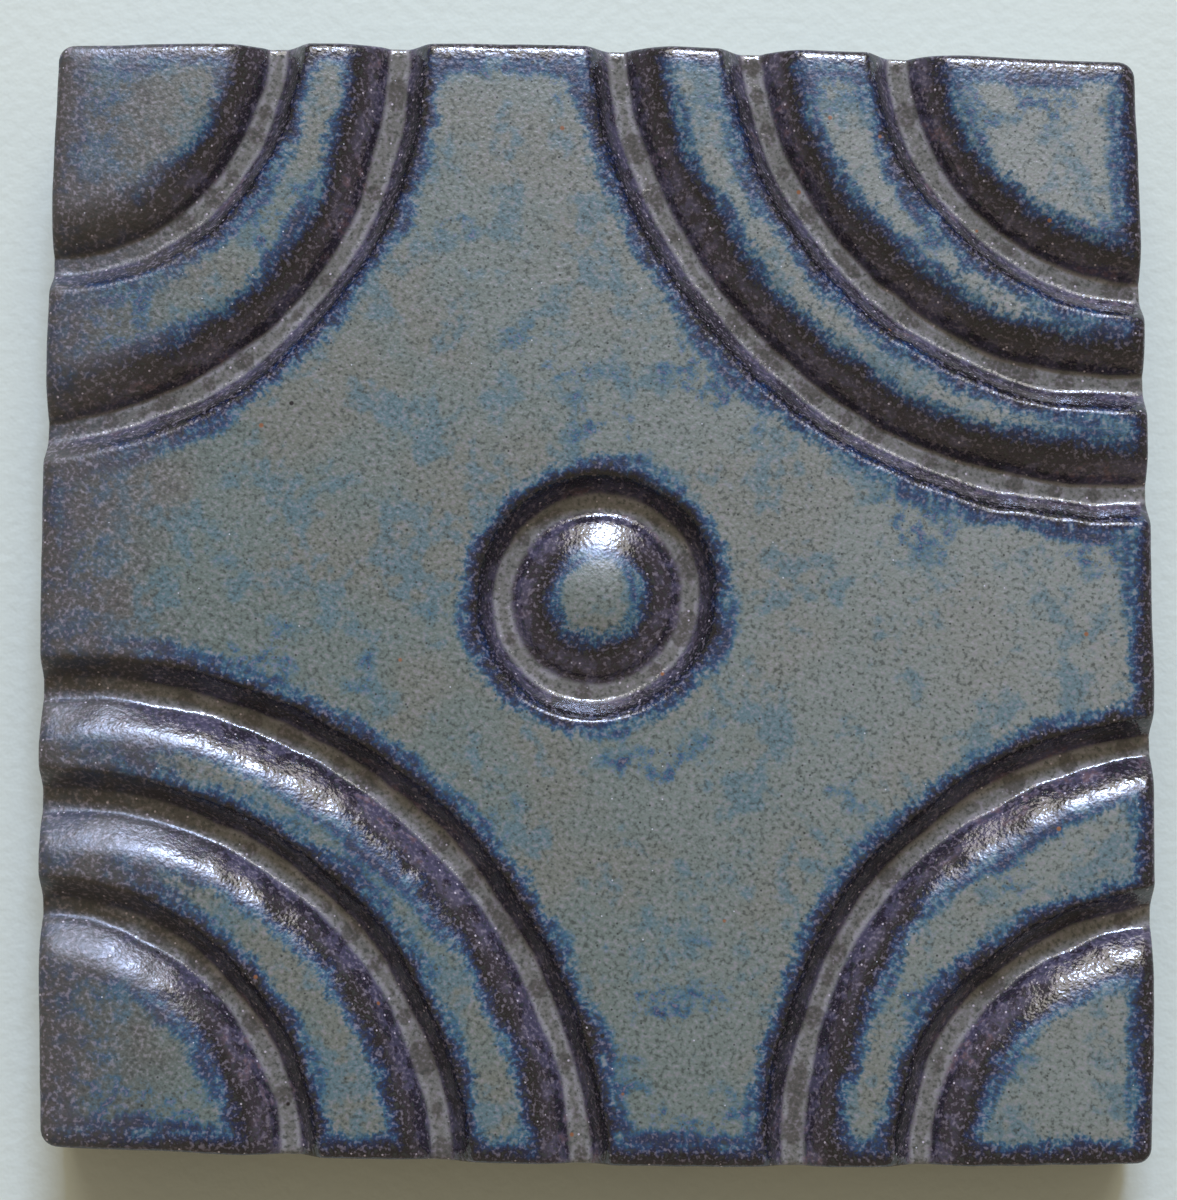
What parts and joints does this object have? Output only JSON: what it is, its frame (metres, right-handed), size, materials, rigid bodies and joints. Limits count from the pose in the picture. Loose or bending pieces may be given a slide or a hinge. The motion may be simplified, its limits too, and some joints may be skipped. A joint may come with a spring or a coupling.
{
  "type": "ceramic tile",
  "caption": "Square glazed stoneware wall tile with curved grooves round its corners, a domed round cell at its centre and a flat back.",
  "frame": {"origin": "centre of the flat back, on the surface that the tile lies on", "axes": "+Z out of the back towards the relief face, +X to the right and +Y to the top of the face as the camera sees it"},
  "size_m": [0.1, 0.1014, 0.012],
  "materials": {
    "satin_glaze": "satin stoneware glaze, grey-green where it lies thick, blue at its edges and dark brown where it runs thin"
  },
  "bodies": {
    "root": {"relief_tile": "satin_glaze"}
  },
  "joints": []
}
